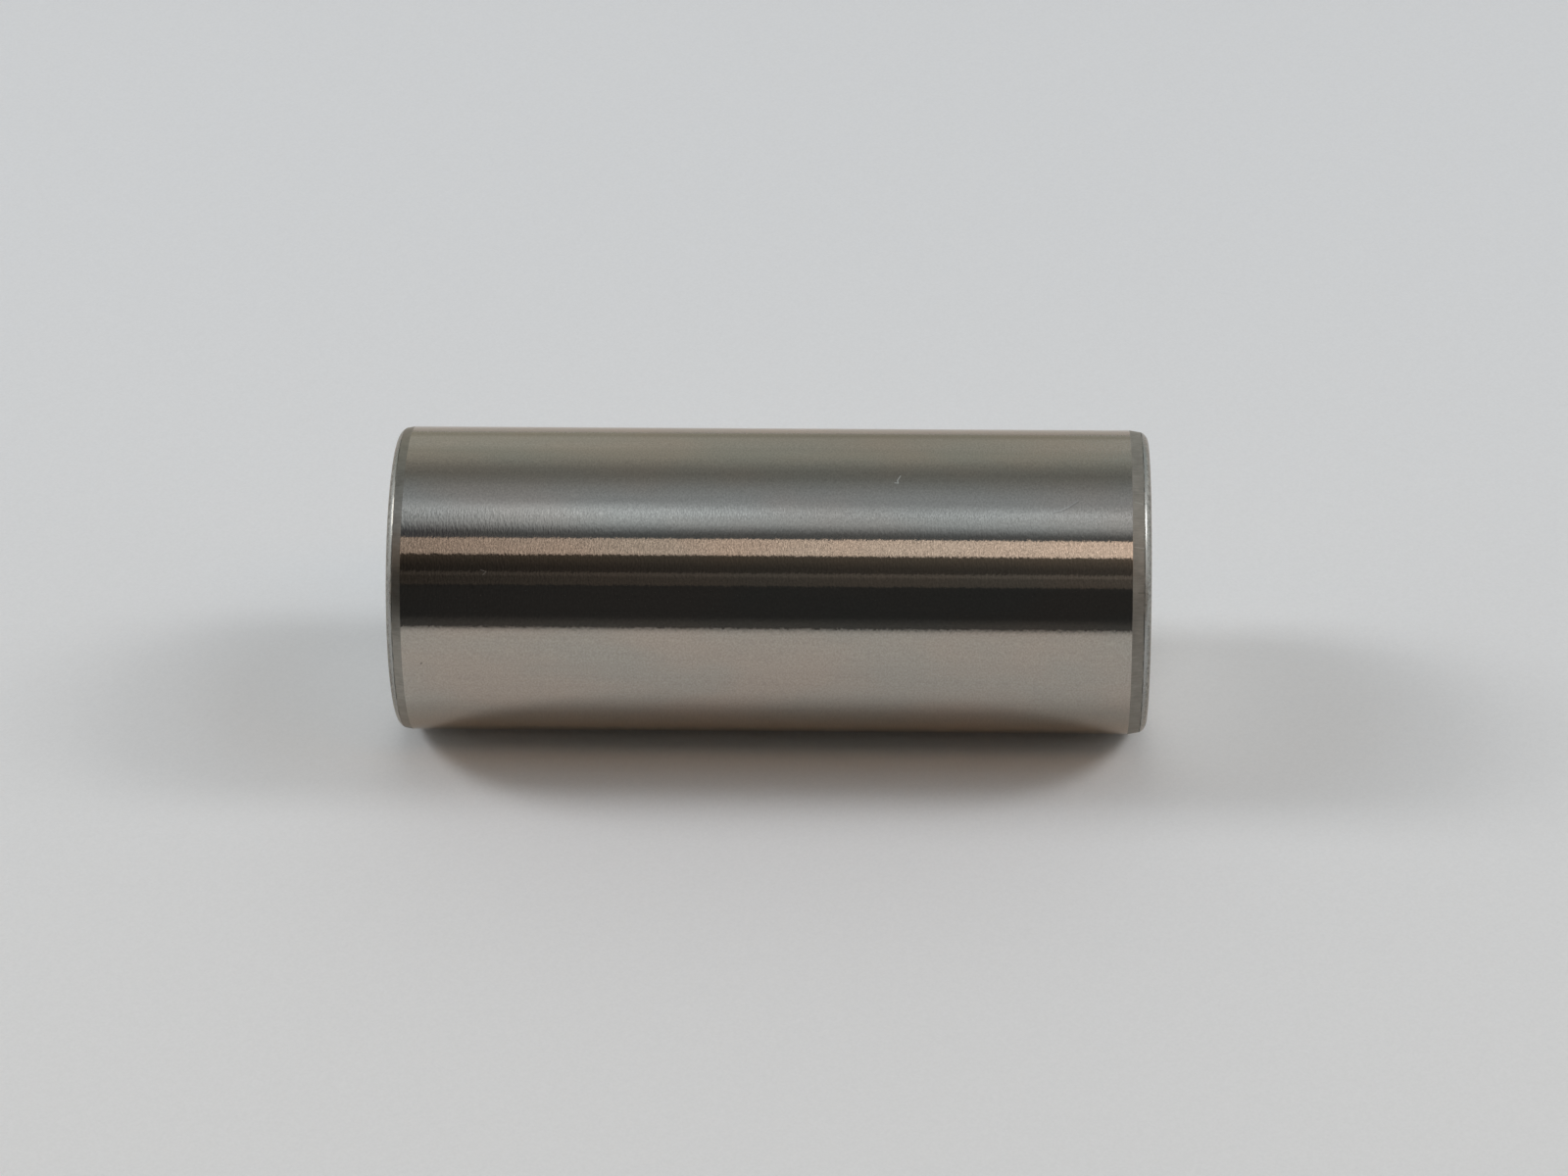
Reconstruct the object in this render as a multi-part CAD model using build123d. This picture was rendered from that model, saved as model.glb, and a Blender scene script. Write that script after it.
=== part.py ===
from build123d import *
import math
import os

# Crank pin for a pressed-up crankshaft, in millimetres.
# It stands on its lower end. Z runs along the pin, and z = 0 is the lower end face.

# Driving dimensions
pin_diameter = 20.0
pin_length = 49.2

# Dull turned taper between the ground surface and the edge of each end
lead_in_lower = 0.55
lead_in_upper = 0.80
lead_in_angle = 10.0

# Rounded edge of each end face: its radius, and the arc from the face to the taper
edge_radius = 0.75
edge_sweep = 65.0

# Worked out from the sizes above
pin_radius = pin_diameter / 2
edge_height = edge_radius * (1 - math.cos(math.radians(edge_sweep)))
edge_depth = edge_radius * math.sin(math.radians(edge_sweep))


def end_corners(lead_in):
    """Corners of one end, as radius and distance in from the end face.

    They are where the rounded edge leaves the face, the middle of its arc,
    where it meets the taper, and where the taper meets the ground surface.
    """
    crest = pin_radius - lead_in * math.tan(math.radians(lead_in_angle))
    face = crest - edge_depth
    half = math.radians(edge_sweep / 2)
    return [
        (face, 0.0),
        (face + edge_radius * math.sin(half), edge_radius * (1 - math.cos(half))),
        (crest, edge_height),
        (pin_radius, edge_height + lead_in),
    ]


def make_crank_pin():
    """Half the pin's section, turned about its axis."""
    lower = [(r, z) for r, z in end_corners(lead_in_lower)]
    upper = [(r, pin_length - z) for r, z in end_corners(lead_in_upper)]
    with BuildPart() as pin:
        with BuildSketch(Plane.XZ):
            with BuildLine():
                Line((0, 0), lower[0])
                ThreePointArc(lower[0], lower[1], lower[2])
                Line(lower[2], lower[3])
                Line(lower[3], upper[3])
                Line(upper[3], upper[2])
                ThreePointArc(upper[2], upper[1], upper[0])
                Line(upper[0], (0, pin_length))
                Line((0, pin_length), (0, 0))
            make_face()
        revolve(axis=Axis.Z)
    return pin.part


os.makedirs("parts", exist_ok=True)
export_step(make_crank_pin(), "parts/crank_pin.step")
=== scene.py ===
# %% [markdown]
# # A ground crank pin
#
# A crank pin is the short steel bar that joins the two webs of a pressed-up crankshaft, and the
# big end of the connecting rod runs on it. It is turned from bar, hardened, and then ground all
# round. This lesson dresses the solid pin: a finely divided surface, the steel with the dull
# lead-in at each end, and the soft studio that polished steel needs to mirror.
#
# Everything is in metres. Z runs along the pin and the pin stands on z = 0. In the picture the
# pin lies on its side, so here the pale floor is an upright sheet that touches it at +Y, and the
# camera is rolled a quarter turn to look down on it.

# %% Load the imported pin
import math

import bpy
import numpy as np
from mathutils import Matrix, Vector


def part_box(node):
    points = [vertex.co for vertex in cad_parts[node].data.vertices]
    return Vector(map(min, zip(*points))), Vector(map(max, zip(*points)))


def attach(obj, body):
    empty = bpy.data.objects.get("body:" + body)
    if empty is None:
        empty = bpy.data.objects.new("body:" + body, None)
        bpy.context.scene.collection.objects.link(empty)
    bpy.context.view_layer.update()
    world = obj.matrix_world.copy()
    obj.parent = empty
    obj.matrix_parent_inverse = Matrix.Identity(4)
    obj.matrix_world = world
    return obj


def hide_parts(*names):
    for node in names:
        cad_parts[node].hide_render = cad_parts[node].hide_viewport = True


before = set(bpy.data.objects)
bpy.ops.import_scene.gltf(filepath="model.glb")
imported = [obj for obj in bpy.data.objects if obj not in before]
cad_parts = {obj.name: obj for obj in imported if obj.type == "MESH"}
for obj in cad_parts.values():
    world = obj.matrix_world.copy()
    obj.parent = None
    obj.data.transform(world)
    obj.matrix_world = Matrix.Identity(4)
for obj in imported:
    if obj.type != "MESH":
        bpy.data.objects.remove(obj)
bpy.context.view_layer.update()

MM = 0.001
MICRON = 1.0e-6
print("nodes in the frame:", sorted(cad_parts))

# %% [markdown]
# ## Sizes
#
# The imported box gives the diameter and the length. The shape of the ends can't be read from a
# box, so the turned taper and the rounded edge keep the names and the sizes that the drawing
# of the pin gives them.

# %% Sizes of the pin
pin_low, pin_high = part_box("crank_pin")
pin_radius = (pin_high.x - pin_low.x) / 2
pin_length = pin_high.z - pin_low.z

lead_in_lower = 0.55 * MM
lead_in_upper = 0.80 * MM
lead_in_angle = math.radians(10)
edge_radius = 0.75 * MM
edge_sweep = math.radians(65)

edge_height = edge_radius * (1 - math.cos(edge_sweep))
edge_depth = edge_radius * math.sin(edge_sweep)
ground_from = edge_height + lead_in_lower
ground_to = pin_length - edge_height - lead_in_upper
print(f"pin {2 * pin_radius / MM:.2f} x {pin_length / MM:.2f} mm")
print(f"ground from z = {ground_from / MM:.2f} to {ground_to / MM:.2f} mm")

# %% [markdown]
# ## The pin's surface
#
# A lathe could be imitated with the Screw modifier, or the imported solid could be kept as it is.
# Polished steel shows every flat of a coarse mesh as a kink in its reflections, so this surface
# is worked out again from the same profile with many more divisions. First comes half of the
# section: one end, the ground wall, and the other end.

# %% Profile of one end
def end_profile(lead_in, face_steps=6, arc_steps=14, taper_steps=4):
    """Radius and distance in from the end face, from its middle out to the ground surface.

    The face is flat. The edge is an arc of edge_radius that starts level with the face and turns
    through edge_sweep. From its last point the taper widens by lead_in times the tangent of its
    angle, up to the pin's radius.
    """
    crest = pin_radius - lead_in * math.tan(lead_in_angle)
    face = crest - edge_depth
    flat = np.linspace(0.0, face, face_steps, endpoint=False)
    turn = np.linspace(0.0, edge_sweep, arc_steps + 1)
    taper = np.linspace(0.0, 1.0, taper_steps + 1)[1:]
    arc_radius = face + edge_radius * np.sin(turn)
    arc_inward = edge_radius * (1 - np.cos(turn))
    radius = np.concatenate([flat, arc_radius, crest + taper * (pin_radius - crest)])
    inward = np.concatenate([0 * flat, arc_inward, edge_height + taper * lead_in])
    return radius, inward


wall_rings = 24
lower_radius, lower_in = end_profile(lead_in_lower)
upper_radius, upper_in = end_profile(lead_in_upper)
wall_z = np.linspace(ground_from, ground_to, wall_rings + 2)[1:-1]
wall_radius = np.full(wall_rings, pin_radius)
profile_radius = np.concatenate([lower_radius, wall_radius, upper_radius[::-1]])
profile_z = np.concatenate([lower_in, wall_z, pin_length - upper_in[::-1]])
print("profile points:", profile_radius.size)

# %% [markdown]
# The profile is then turned about Z on a grid, and each end closes in one point. Smooth shading
# hides the facets, and the two crisp turned corners at each end are kept sharp by their angle.

# %% Turn the profile
def turned_mesh(name, radius, z, divisions):
    """A closed surface of revolution about Z.

    Point (i, j) is (radius[i] cos a, radius[i] sin a, z[i]) with a = 2 pi j / divisions. The
    first and the last profile point lie on the axis, so each becomes one vertex with a fan of
    triangles round it. Faces point outwards.
    """
    angle = np.arange(divisions) * (2 * np.pi / divisions)
    ring_radius, ring_z = radius[1:-1, None], z[1:-1, None]
    ring_x = ring_radius * np.cos(angle)
    ring_y = ring_radius * np.sin(angle)
    rings = np.stack([ring_x, ring_y, ring_z + 0 * angle], axis=-1).reshape(-1, 3)
    points = np.concatenate([[[0.0, 0.0, z[0]]], rings, [[0.0, 0.0, z[-1]]]])

    corner = 1 + np.arange(len(rings)).reshape(-1, divisions)
    beside = np.roll(corner, -1, axis=1)
    quads = np.stack([corner[:-1], beside[:-1], beside[1:], corner[1:]], axis=-1).reshape(-1, 4)
    first_fan = np.stack([0 * corner[0], beside[0], corner[0]], axis=-1)
    last_fan = np.stack([0 * corner[0] + len(points) - 1, corner[-1], beside[-1]], axis=-1)

    mesh = bpy.data.meshes.new(name)
    mesh.from_pydata(points.tolist(), [], quads.tolist() + first_fan.tolist() + last_fan.tolist())
    mesh.polygons.foreach_set("use_smooth", np.ones(len(mesh.polygons), bool))
    mesh.validate()
    return mesh


sharp_corner = math.radians(8)
pin_mesh = turned_mesh("ground_pin", profile_radius, profile_z, divisions=640)
pin_mesh.set_sharp_from_angle(angle=sharp_corner)
ground_pin = bpy.data.objects.new("ground_pin", pin_mesh)
bpy.context.scene.collection.objects.link(ground_pin)
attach(ground_pin, "root")
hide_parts("crank_pin")
print("faces on the pin:", len(pin_mesh.polygons))

# %% [markdown]
# ## Shader maths written as sums
#
# A node tree is easier to read as a formula. `Number` wraps a socket, and each operator adds the
# Math node that does it.

# %% A number in a node tree
class Number:
    """A socket that carries one number, with + - * / as Math nodes."""

    def __init__(self, board, socket):
        self.board = board
        self.socket = socket

    def __add__(self, other):
        return self.board.math("ADD", self, other)

    def __radd__(self, other):
        return self.board.math("ADD", other, self)

    def __sub__(self, other):
        return self.board.math("SUBTRACT", self, other)

    def __rsub__(self, other):
        return self.board.math("SUBTRACT", other, self)

    def __mul__(self, other):
        return self.board.math("MULTIPLY", self, other)

    def __rmul__(self, other):
        return self.board.math("MULTIPLY", other, self)

    def __truediv__(self, other):
        return self.board.math("DIVIDE", self, other)


print("Number wraps a socket")

# %% [markdown]
# `Board` holds one node tree. Its method `node` adds any node from its type, its settings and its
# sockets, and the rest are the few things that this lesson needs again and again: a soft step, a
# band, a bump, a mix of two colours, a colour times a number, and cloudy noise.

# %% The board that nodes are put on
class Board:
    """One node tree, emptied, with one method for any node and a few for common sums."""

    def __init__(self, tree):
        self.tree = tree
        tree.nodes.clear()

    def put(self, socket, value):
        """Links a socket or a Number to a socket, or sets a plain value on it."""
        value = getattr(value, "socket", value)
        if isinstance(value, bpy.types.NodeSocket):
            self.tree.links.new(value, socket)
        else:
            socket.default_value = value

    def node(self, kind, settings=None, sockets=None):
        """Adds a node: its settings first, then the values and links of its sockets."""
        made = self.tree.nodes.new("ShaderNode" + kind)
        for name, value in (settings or {}).items():
            setattr(made, name, value)
        for name, value in (sockets or {}).items():
            self.put(made.inputs[name], value)
        return made

    def number(self, made, output=0):
        """One output of a node, to do sums with."""
        return Number(self, made.outputs[output])

    def math(self, operation, *terms):
        """A Math node on one or more numbers."""
        return self.number(self.node("Math", {"operation": operation}, dict(enumerate(terms))))

    def step(self, value, start, end, low=0.0, high=1.0):
        """Goes smoothly from low to high while value goes from start to end."""
        return self.number(self.node("MapRange", {"interpolation_type": "SMOOTHSTEP"}, {
            "Value": value, "From Min": start, "From Max": end, "To Min": low, "To Max": high}))

    def band(self, value, start, end, blur):
        """1 between start and end, fading to 0 over blur at both edges."""
        rise = self.step(value, start - blur / 2, start + blur / 2)
        return rise * self.step(value, end - blur / 2, end + blur / 2, 1.0, 0.0)

    def bump(self, value, centre, reach):
        """1 at the centre, falling smoothly to 0 at the reach on both sides."""
        return self.step(self.math("ABSOLUTE", value - centre), 0.0, reach, 1.0, 0.0)

    def grey(self, value):
        """A colour whose three channels are the one number."""
        return self.node("CombineXYZ", sockets={0: value, 1: value, 2: value}).outputs[0]

    def mix(self, factor, first, second, blend="MIX"):
        """Colour mix: first where factor is 0, second where it is 1."""
        made = self.node("Mix", {"data_type": "RGBA", "blend_type": blend})
        factor_socket, first_socket, second_socket = made.inputs[0], made.inputs[6], made.inputs[7]
        self.put(factor_socket, factor)
        self.put(first_socket, (*first, 1.0) if isinstance(first, tuple) else first)
        self.put(second_socket, (*second, 1.0) if isinstance(second, tuple) else second)
        return made.outputs[2]

    def shade(self, colour, number):
        """The colour times the number."""
        return self.mix(1.0, colour, self.grey(number), "MULTIPLY")

    def noise(self, place, size, detail=1.0, stretch=(1.0, 1.0, 1.0)):
        """Cloudy noise from 0 to 1 with patches of about this size, longer where stretched."""
        scale = tuple(1 / (size * s) for s in stretch)
        placed = self.node("Mapping", {"vector_type": "POINT"}, {"Vector": place, "Scale": scale})
        return self.number(self.node("TexNoise", {"noise_dimensions": "3D"}, {
            "Vector": placed.outputs[0], "Scale": 1.0, "Detail": detail, "Roughness": 0.5}))


print("Board adds nodes")

# %% [markdown]
# ## Zones of the steel
#
# One bar of steel carries four finishes. The wall is ground and nearly a mirror. The lead-in
# taper at each end is dull from the turning tool. The rounded edge is tumbled, so it is a little
# shinier and mottled, and the end face is faced on the lathe. One material with a mask for each
# zone keeps them on one mesh. The border between taper and rounded edge wanders, as a tumbled
# edge does, and at the lower end it lies a little nearer to the face.

# %% Zones of the pin
steel = bpy.data.materials.new("ground_steel")
steel.use_nodes = True
board = Board(steel.node_tree)

place = board.node("TexCoord").outputs["Object"]
split = board.node("SeparateXYZ", sockets={"Vector": place})
x, y, z = (board.number(split, name) for name in "XYZ")
from_axis = board.math("SQRT", x * x + y * y)
from_end = board.math("MINIMUM", z, pin_length - z)
upper_end = board.step(z, 0.4 * pin_length, 0.6 * pin_length)

line_blur = 0.03 * MM
wander_reach = 0.06 * MM
nearer_to_face = 0.06 * MM
face_radius = pin_radius - 0.8 * MM

on_ground = board.band(z, ground_from, ground_to, line_blur)
wander = wander_reach * (board.noise(place, size=0.35 * MM, detail=2.0) - 0.5)
edge_line = edge_height + wander - nearer_to_face * (1.0 - upper_end)
on_edge = board.step(from_end - edge_line, -line_blur, line_blur, 1.0, 0.0)
inside = board.step(from_axis, face_radius - line_blur, face_radius + line_blur, 1.0, 0.0)
on_face = inside * on_edge
print(f"zones: wall, taper, rounded edge, and face inside r = {face_radius / MM:.1f} mm")

# %% [markdown]
# ## Grain
#
# A grinding wheel cuts very short lines that run round the pin. They tilt the surface along the
# pin but hardly round it. So a lamp or a panel that changes from left to right looks grainy in
# the steel, while its upper and lower edges stay crisp and wide even parts look smooth. Noise
# that is stretched round the pin does that in a bump. Rougher steel would only look hazy. Fine
# pits speckle the colour a little, and faint long streaks and a thin film of oil come on top.

# %% Grain of the ground wall
grind_lines = board.noise(place, size=0.12 * MM, detail=1.0, stretch=(2.8, 2.8, 1.0)) - 0.5
pits = board.noise(place, size=0.11 * MM, detail=1.0, stretch=(1.3, 1.3, 1.0)) - 0.5
streaks = board.noise(place, size=0.30 * MM, detail=2.0, stretch=(1.0, 1.0, 30.0)) - 0.5
oil_film = board.noise(place, size=5.0 * MM, detail=2.0, stretch=(1.0, 1.0, 2.0)) - 0.5
polished = 0.055
wall_roughness = polished + 0.03 * streaks
print("wall roughness about", polished)

# %% [markdown]
# The taper shows short hairlines along the pin and soft blotches, and the upper end's is duller.
# The rounded edge is mottled on a coarser scale, and the end face has fine rings from the facing
# tool: an even spiral, and uneven wider rings where the tool dwelt.

# %% Grain of the ends
hairlines = board.noise(place, size=0.12 * MM, detail=2.0, stretch=(1.0, 1.0, 8.0)) - 0.5
blotches = board.noise(place, size=0.9 * MM, detail=2.0) - 0.5
mottle = board.noise(place, size=0.26 * MM, detail=2.0) - 0.5
ring_pitch = 0.16 * MM
rings = board.math("SINE", from_axis * (2 * math.pi / ring_pitch) + 6.0 * blotches)
outwards = board.node("CombineXYZ", sockets={"X": from_axis}).outputs[0]
facing = board.noise(outwards, size=0.45 * MM, detail=3.0) - 0.5

taper_roughness = 0.37 + 0.19 * upper_end + 0.10 * blotches
edge_roughness = 0.28 + 0.25 * mottle
face_roughness = 0.30 + 0.10 * blotches
print(f"rings on the end face every {ring_pitch / MM:.2f} mm")

# %% [markdown]
# ## Marks
#
# The real pin has a few small marks from handling. Each is made of short straight strokes on the
# unrolled wall: the distance round the pin from level, and the height z. A stroke's mask comes
# from the distance to its middle line.

# %% Strokes on the unrolled wall
round_wall = board.math("ARCTAN2", -1 * y, x) * pin_radius


def stroke(start, end, width):
    """1 on a straight stroke between two (z in mm, degrees round) points, 0 away from it.

    With a and b its ends and p the place, h = (p - a).(b - a) / |b - a|^2 kept between 0 and 1
    is how far along the nearest point is, and the mask falls off with |p - a - h (b - a)|.
    """
    a_z, a_round = start[0] * MM, math.radians(start[1]) * pin_radius
    b_z, b_round = end[0] * MM, math.radians(end[1]) * pin_radius
    run_z, run_round = b_z - a_z, b_round - a_round
    to_z, to_round = z - a_z, round_wall - a_round
    length_squared = run_z ** 2 + run_round ** 2
    share = (to_z * run_z + to_round * run_round) / length_squared
    share = board.math("MINIMUM", board.math("MAXIMUM", share, 0.0), 1.0)
    off_z = to_z - share * run_z
    off_round = to_round - share * run_round
    distance = board.math("SQRT", off_z * off_z + off_round * off_round)
    return board.step(distance, 0.2 * width, 0.8 * width, 1.0, 0.0)


def strokes(points, width):
    """The strongest of the strokes between neighbouring points."""
    total = stroke(points[0], points[1], width)
    for start, end in zip(points[1:], points[2:]):
        total = board.math("MAXIMUM", total, stroke(start, end, width))
    return total


def marks(paths, width):
    """The strongest of several stroked paths, each as strong as it says."""
    total = paths[0][0] * strokes(paths[0][1], width)
    for strength, points in paths[1:]:
        total = board.math("MAXIMUM", total, strength * strokes(points, width))
    return total


print("unrolled wall:", round(2 * math.pi * pin_radius / MM, 1), "mm round")

# %% [markdown]
# The longest mark is a hair-fine scratch, dark on one side and light on the other, because one
# wall of its groove faces the light. The rest are two small bright hooks, three faint flecks and
# two dark specks. Each row gives how strong a mark is and the points that it runs through.

# %% Places of the marks
scratch_path = [(42.9, 61.0), (43.4, 61.6), (43.9, 63.2), (44.5, 65.8)]
beside_path = [(z_mm - 0.05, angle + 0.5) for z_mm, angle in scratch_path]
light_paths = [
    (0.15, beside_path),
    (0.95, [(33.05, 77.4), (32.86, 75.2), (32.90, 73.8)]),
    (0.85, [(32.86, 73.9), (32.70, 74.0)]),
    (0.90, [(6.21, 37.9), (6.53, 37.2), (6.34, 36.1)]),
    (0.10, [(26.1, 91.0), (27.0, 89.5)]),
    (0.15, [(48.1, 47.9), (48.7, 47.6)]),
    (0.12, [(48.1, 65.9), (48.6, 65.4)]),
]
dark_paths = [
    (0.20, scratch_path),
    (0.80, [(2.20, 1.2), (2.26, 1.4)]),
    (0.45, [(48.35, 30.9), (48.7, 31.0)]),
]
light_marks = marks(light_paths, width=0.07 * MM)
dark_marks = marks(dark_paths, width=0.09 * MM)
print("marks:", len(light_paths), "light,", len(dark_paths), "dark")

# %% [markdown]
# ## Colour and finish
#
# The wall's colour is slightly warm. The taper and the rounded edge are greyer and darker,
# because a rough surface returns less of the room to the eye. Handling has worn the corner where
# they meet a little brighter, and a thin dark line of painted shade lies in the crease beside it.
# First each zone gets its own colour.

# %% Colours of the zones
warm_film = (0.455, 0.395, 0.34)
cool_film = (0.425, 0.395, 0.35)
taper_colour = (0.305, 0.287, 0.253)
crease_shade_colour = (0.11, 0.11, 0.10)
edge_colour = (0.33, 0.33, 0.31)
worn_colour = (0.38, 0.38, 0.365)
face_colour = (0.62, 0.61, 0.59)
crease_shade_width = 0.07 * MM
worn_width = 0.16 * MM

wall = board.mix(board.step(oil_film, -0.15, 0.15), cool_film, warm_film)
wall = board.shade(wall, 1.0 + 0.50 * pits + 0.10 * streaks)
taper = board.shade(taper_colour, 1.0 + 0.5 * blotches + 0.5 * hairlines)
# Painted shade: a thin dark line, in patches, on the taper in the crease beside the rounded edge.
crease_shade_mask = board.band(from_end - edge_line, 0.0, crease_shade_width, line_blur)
taper = board.mix(crease_shade_mask * board.step(blotches, -0.2, 0.1), taper, crease_shade_colour)
edge = board.shade(edge_colour, 1.0 + 1.4 * mottle)
worn = board.band(from_end - edge_line, -worn_width, 0.0, line_blur)
edge = board.mix(worn, edge, worn_colour)
face = board.shade(face_colour, 1.0 + 0.45 * facing + 0.20 * blotches)
print("edge colour", edge_colour, "and where it is worn", worn_colour)

# %% [markdown]
# The masks then choose between the zones, for the colour and for the roughness alike. The marks
# come last: they lie over everything and are a little rougher than the polished wall.

# %% Colour and roughness all over
light_mark = (0.92, 0.89, 0.84)
dark_mark = (0.10, 0.09, 0.08)

ends = board.mix(on_face, board.mix(on_edge, taper, edge), face)
colour = board.mix(on_ground, ends, wall)
colour = board.mix(dark_marks, colour, dark_mark)
colour = board.mix(light_marks, colour, light_mark)

end_roughness = taper_roughness + on_edge * (edge_roughness - taper_roughness)
end_roughness = end_roughness + on_face * (face_roughness - edge_roughness)
roughness = end_roughness + on_ground * (wall_roughness - end_roughness) + 0.12 * light_marks
print("nodes for colour and roughness:", len(steel.node_tree.nodes))

# %% [markdown]
# The bump is very shallow: a few micrometres, which only ruffles the reflections on the wall and
# makes the ends matte and mottled. Steel returns less light at a glancing angle than the shader's
# plain metal does, and the Specular Tint says how much less, at 82 degrees. The steel is metallic
# all over, but a dull film of dried oil on the upper taper makes it partly plain.

# %% Bump and the finished steel
wall_height = 3.0 * MICRON * grind_lines + 0.4 * MICRON * pits + 0.3 * MICRON * streaks
taper_height = 6.0 * MICRON * hairlines
mottle_height = 2.8 * MICRON * mottle
face_height = 1.5 * MICRON * rings + 4.0 * MICRON * facing
end_height = taper_height + on_edge * (mottle_height - taper_height)
end_height = end_height + on_face * (face_height - mottle_height)
height = end_height + on_ground * (wall_height - end_height)
normal = board.node("Bump", sockets={"Strength": 1.0, "Distance": 1.0, "Height": height})

at_a_glance = (0.88, 0.80, 0.73, 1.0)
on_taper = (1.0 - on_ground) * (1.0 - on_edge)
metallic = 1.0 - 0.35 * upper_end * on_taper
shader = board.node("BsdfPrincipled", sockets={
    "Base Color": colour, "Metallic": metallic, "Roughness": roughness, "Specular Tint": at_a_glance,
    "Normal": normal.outputs[0]})
board.node("OutputMaterial", sockets={"Surface": shader.outputs[0]})
pin_mesh.materials.append(steel)
print("nodes in the steel:", len(steel.node_tree.nodes))

# %% [markdown]
# ## The floor
#
# A pale matte sheet. The pin rests on it, so it lies exactly one pin radius from the pin's axis.
# One flat face is enough, because the sheet is smooth and all that varies on it is its colour.

# %% Floor
floor_y = pin_radius
floor_depth = 0.40
floor_half_length = 0.60
floor_corners = [(floor_depth, floor_y, -floor_half_length), (floor_depth, floor_y, floor_half_length),
                 (-floor_depth, floor_y, floor_half_length), (-floor_depth, floor_y, -floor_half_length)]
floor_mesh = bpy.data.meshes.new("pale_floor")
floor_mesh.from_pydata(floor_corners, [], [(0, 1, 2, 3)])
pale_floor = bpy.data.objects.new("pale_floor", floor_mesh)
bpy.context.scene.collection.objects.link(pale_floor)
print("floor faces", tuple(round(v, 2) for v in floor_mesh.polygons[0].normal))

# %% [markdown]
# Light pools round the pin and fades further out, most of all in front. That pool of light is
# painted into the sheet's colour, which falls off with distance, and the steel mirrors the far
# dim part as a soft dark line. The back of the sheet is a touch cooler and the front a touch
# warmer, painted in too because the room's light is, and paper fibres speckle it faintly. It is
# one-sided: a Mix Shader on the face's side makes it clear from behind, so the pin can be looked
# at from every side.

# %% Pale sheet
pale = bpy.data.materials.new("pale_sheet")
pale.use_nodes = True
board = Board(pale.node_tree)
floor_place = board.node("TexCoord").outputs["Object"]
split = board.node("SeparateXYZ", sockets={"Vector": floor_place})
floor_x, floor_z = board.number(split, "X"), board.number(split, "Z") - pin_length / 2
from_pin = board.math("SQRT", floor_x * floor_x + floor_z * floor_z)

cool_back = (0.866, 0.878, 0.894)
warm_front = (0.888, 0.884, 0.880)
fade_from, fade_to = 0.080, 0.36
fade_behind, more_in_front = 0.14, 0.51

in_front = board.step(floor_x, -0.05, 0.05)
# Painted pool of light: the sheet's colour falls off away from the pin, more in front.
painted_light_pool = 1.0 - board.step(from_pin, fade_from, fade_to) * (fade_behind + more_in_front * in_front)
# Painted colour of the light: cooler at the back of the sheet, warmer in front.
tint = board.mix(board.step(floor_x, -0.08, 0.06), cool_back, warm_front)
fibres = board.noise(floor_place, size=0.16 * MM, detail=2.0) - 0.5
sheet_colour = board.shade(tint, painted_light_pool * (1.0 + 0.10 * fibres))
matte = board.node("BsdfPrincipled", sockets={
    "Base Color": sheet_colour, "Roughness": 1.0, "Specular IOR Level": 0.0})
clear = board.node("BsdfTransparent")
behind = board.number(board.node("NewGeometry"), "Backfacing")
one_sided = board.node("MixShader", sockets={0: behind, 1: matte.outputs[0], 2: clear.outputs[0]})
board.node("OutputMaterial", sockets={"Surface": one_sided.outputs[0]})
floor_mesh.materials.append(pale)
print(f"sheet's colour falls off from {fade_from / MM:.0f} mm to {fade_to / MM:.0f} mm")

# %% [markdown]
# ## The studio
#
# Steel has hardly a colour of its own: it shows the room. The room is a world shader that reads
# the direction of the ray. The angle round the pin says what is there: 0 degrees is level on the
# camera's side, 90 is overhead, 180 is level behind. How far the ray leans along the pin, from -1
# to 1, says whether it goes to the left or to the right. The daylight comes through narrow slats
# and has two brighter places, and both vary along the pin.

# %% Direction in the room
world = bpy.data.worlds.new("soft_studio")
bpy.context.scene.world = world
world.use_nodes = True
board = Board(world.node_tree)

direction = board.node("SeparateXYZ", sockets={"Vector": board.node("TexCoord").outputs["Generated"]})
ray_x, ray_y, along = (board.number(direction, name) for name in "XYZ")
round_pin = board.math("ARCTAN2", -1 * ray_y, ray_x) * (180 / math.pi)
# Behind the level the angle jumps from 180 to -180, so it is counted on to 270.
round_pin = round_pin + 360 * board.math("LESS_THAN", round_pin, -90)

slat_spacing = 0.035
picture_middle = -0.035
aside = board.math("ABSOLUTE", along - picture_middle)
slats = board.math("SINE", along * (2 * math.pi / slat_spacing))
bright_places = 1.3 * board.bump(along, -0.065, 0.045) + board.bump(along, 0.020, 0.045)
print("angle round the pin from -90 to 270 degrees, slats every", slat_spacing)

# %% [markdown]
# From the level up, the room is dark at the front with a faint shelf, then a bright warm strip,
# a narrow gap, a soft white panel overhead, the ceiling behind it, and a paler back wall. Each
# part starts where the one below ends, so the room is a chain of mixes with soft steps. The
# front comes first. It is lighter to the right, and darker past both ends of the pin. The ground
# steel breaks the slats of the strip up into fine grain.

# %% Front of the room
at_level = (0.080, 0.082, 0.082)
dark_front = (0.034, 0.036, 0.037)
low_wall = (0.083, 0.077, 0.070)
shelf = (0.125, 0.115, 0.105)
above_shelf = (0.054, 0.050, 0.046)
under_strip = (0.110, 0.096, 0.080)
strip_middle = (0.86, 0.735, 0.645)
strip_sides = (0.86, 0.50, 0.25)

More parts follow.
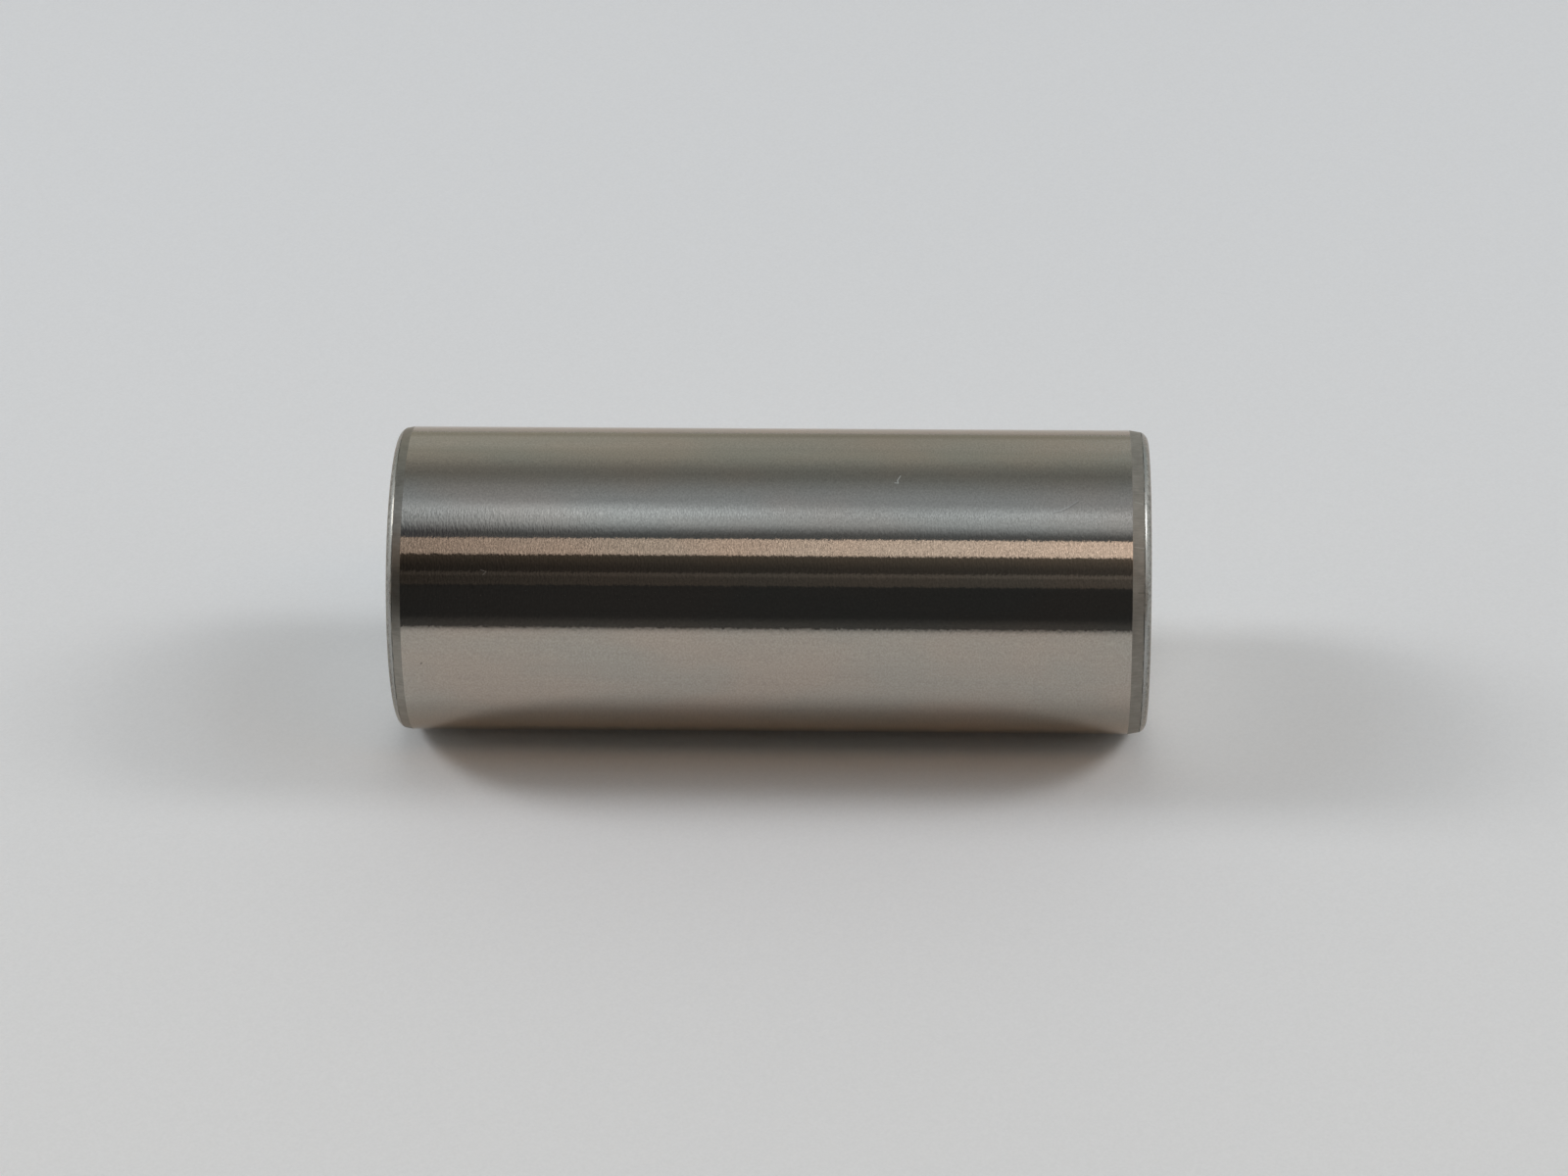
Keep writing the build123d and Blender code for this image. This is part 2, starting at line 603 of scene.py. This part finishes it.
front = board.mix(board.step(round_pin, 0.0, 7.5), at_level, dark_front)
front = board.mix(board.step(round_pin, 29.5, 31.0), front, low_wall)
front = board.mix(board.band(round_pin, 37.0, 39.6, 1.2), front, shelf)
front = board.mix(board.step(round_pin, 39.2, 40.4), front, above_shelf)
front = board.mix(board.step(round_pin, 42.0, 53.0), front, under_strip)
front = board.shade(front, board.step(aside, 0.15, 0.40, 1.0, 0.35))
warm_strip = board.mix(board.step(aside, 0.13, 0.30), strip_middle, strip_sides)
warm_strip = board.shade(warm_strip, 1.0 + 0.65 * slats)
front = board.mix(board.step(round_pin, 52.4, 53.6), front, warm_strip)
to_right = board.step(along, -0.18, 0.12, -0.52, 0.48) + board.step(along, 0.0, 0.08, 0.0, 0.14)
front = board.shade(front, 1.0 + to_right * board.step(round_pin, 26.0, 34.0))
print("front of the room: level, low wall, shelf, warm strip")

# %% [markdown]
# The panel's front and rear edges aren't quite parallel to the pin, so the angle that they start
# at shifts along it. The gap before the panel is darkest at the left and palest at the right.

# %% Gap and panel
gap_left = (0.085, 0.090, 0.110)
gap_elsewhere = (0.121, 0.135, 0.146)
panel_front = (0.560, 0.630, 0.690)
panel_middle = (0.660, 0.745, 0.825)
panel_rear = (0.430, 0.480, 0.530)
front_slant, rear_slant = 14.0, 32.0

gap = board.mix(board.step(along, -0.115, -0.095), gap_left, gap_elsewhere)
gap = board.shade(gap, board.step(along, 0.03, 0.12, 1.0, 1.35))
room = board.mix(board.step(round_pin, 64.9, 65.9), front, gap)
front_edge = round_pin + front_slant * (along + 0.04) + 1.2 * bright_places
room = board.mix(board.step(front_edge, 68.2, 80.6), room, panel_front)
room = board.mix(board.step(round_pin, 79.0, 87.0), room, panel_middle)
rear_edge = round_pin + rear_slant * (along + 0.07)
room = board.mix(board.step(rear_edge, 86.0, 98.0), room, panel_rear)
print("panel's edges slant by", front_slant, "and", rear_slant, "degrees")

# %% [markdown]
# Behind the panel come the ceiling and the back wall, down to the level behind the pin. Each row
# gives the angles between which the next part takes over, and its colour.

# %% Ceiling and back wall
behind_panel = [
    (94.0, 123.0, (0.235, 0.250, 0.245)),  # ceiling
    (121.0, 146.0, (0.440, 0.465, 0.435)),  # top of the wall
    (146.0, 158.0, (0.515, 0.540, 0.515)),  # wall
    (168.0, 177.0, (0.415, 0.435, 0.400)),  # darker rail
    (178.0, 186.0, (0.495, 0.545, 0.535)),  # level and below
]
for start, end, surface_colour in behind_panel:
    room = board.mix(board.step(round_pin, start, end), room, surface_colour)
print("parts behind the panel:", len(behind_panel))

# %% [markdown]
# Nothing in a real room is even. The strip and the panel are weaker at the far left, the panel
# shows the slats and the brighter places, and the back wall is dimmer in the middle and cooler
# to the right.

# %% Uneven light along the pin
weak_end = board.step(along, -0.115, -0.075, 0.80, 1.0)
up_to_panel = board.step(round_pin, 80.0, 94.0, 1.0, 0.0)
room = board.mix(up_to_panel, room, board.grey(weak_end), "MULTIPLY")
panel_light = 0.32 * bright_places + 0.30 * slats - 0.11
room = board.shade(room, 1.0 + board.bump(round_pin, 85.0, 12.0) * panel_light)
wall_light = 0.03 - 0.13 * board.bump(along, -0.015, 0.075)
room = board.shade(room, 1.0 + wall_light * board.step(round_pin, 146.0, 154.0))
cooler_right = board.step(along, 0.01, 0.06) * board.step(round_pin, 132.0, 142.0)
room = board.mix(cooler_right, room, (1.0, 1.06, 1.13), "MULTIPLY")
print("uneven light on the strip, the panel and the back wall")

# %% [markdown]
# Beyond the pin's ends the panel is dimmer for a little and then much brighter, which the dull
# tapers and the floor show, and pale side walls close the room. Low down in front they are dark.

# %% Sides of the room
wall_low = (0.21, 0.165, 0.12)
wall_high = (0.73, 0.74, 0.73)

overhead = board.band(round_pin, 66.0, 112.0, 12.0)
dimmer = 0.75 * board.band(aside, 0.20, 0.52, 0.10)
brighter = 4.40 * board.step(aside, 0.50, 0.64)
room = board.shade(room, 1.0 + (brighter - dimmer) * overhead)
side_wall = board.mix(board.step(round_pin, 10.0, 55.0), wall_low, wall_high)
room = board.mix(board.step(aside, 0.60, 0.80), room, side_wall)
print("side walls on both sides")

# %% [markdown]
# The camera itself looks past the floor's edge only from other sides, and then it sees plain
# pale grey instead of the room.

# %% World output
plain_grey = (0.60, 0.60, 0.60)
seen = board.number(board.node("LightPath"), "Is Camera Ray")
backdrop = board.node("Background", sockets={"Color": board.mix(seen, room, plain_grey)})
board.node("OutputWorld", sockets={"Surface": backdrop.outputs[0]})
print("nodes in the world:", len(world.node_tree.nodes))

# %% [markdown]
# ## Lamps
#
# Two soft lamps stand high at the left and the right, beyond the pin's ends. Each throws one of
# the faint shadows beside the pin and puts a bright line on the rounded edge of the end that it
# faces.

# %% Lamps
def lamp(name, towards, watts, distance=0.6, across=14.0, along_pin=15.0):
    """A rectangular lamp in the direction towards, aimed at the middle of the pin.

    Across and along_pin are the angles in degrees that it fills, seen from the pin, so each
    side is twice the distance times the tangent of half the angle.
    """
    light = bpy.data.lights.new(name, "AREA")
    light.shape = "RECTANGLE"
    light.size = 2 * distance * math.tan(math.radians(across / 2))
    light.size_y = 2 * distance * math.tan(math.radians(along_pin / 2))
    light.energy = watts
    made = bpy.data.objects.new(name, light)
    towards = Vector(towards).normalized()
    made.location = Vector((0, 0, pin_length / 2)) + towards * distance
    made.rotation_euler = towards.to_track_quat("Z", "Y").to_euler()
    bpy.context.scene.collection.objects.link(made)
    return made


left_lamp = lamp("left_lamp", (-0.20, -1.0, -1.28), watts=0.70)
right_lamp = lamp("right_lamp", (-0.08, -1.0, 1.17), watts=0.60)
print("lamps:", left_lamp.name, right_lamp.name)

# %% [markdown]
# ## Camera
#
# The picture looks 35 degrees down on the pin from far away through a long lens, so the pin's
# sides stay parallel. The camera stands a little to the right of the middle.

# %% Camera
look_down = math.radians(35)
swing = math.radians(1.88)
lean = math.radians(-0.386)
camera_distance = 34 * pin_radius
aim_right = 0.086 * pin_radius
aim_down = 0.0534 * pin_radius

level_back = Vector((math.cos(look_down), -math.sin(look_down), 0))
level_up = Vector((-math.sin(look_down), -math.cos(look_down), 0))
pin_axis = Vector((0, 0, 1))
back = level_back * math.cos(swing) + pin_axis * math.sin(swing)
level_right = pin_axis * math.cos(swing) - level_back * math.sin(swing)
right = level_right * math.cos(lean) - level_up * math.sin(lean)
up = level_right * math.sin(lean) + level_up * math.cos(lean)
middle = Vector((0, 0, (ground_from + ground_to) / 2))
aim = middle + aim_right * right - aim_down * up

camera = bpy.data.objects.new("camera", bpy.data.cameras.new("camera"))
camera.data.sensor_width = 36.0
camera.data.lens = 118.33
camera.data.clip_start = 0.01
camera.data.clip_end = 10.0
turn = Matrix((right, up, back)).transposed().to_4x4()
camera.matrix_world = Matrix.Translation(aim + back * camera_distance) @ turn
bpy.context.scene.collection.objects.link(camera)
bpy.context.scene.camera = camera
bpy.context.scene.view_settings.view_transform = "Standard"
print("camera at", tuple(round(v, 3) for v in camera.matrix_world.translation))

# %% [markdown]
# ## Finish
#
# Last, the view layer is brought up to date.

# %% Closing update
bpy.context.view_layer.update()
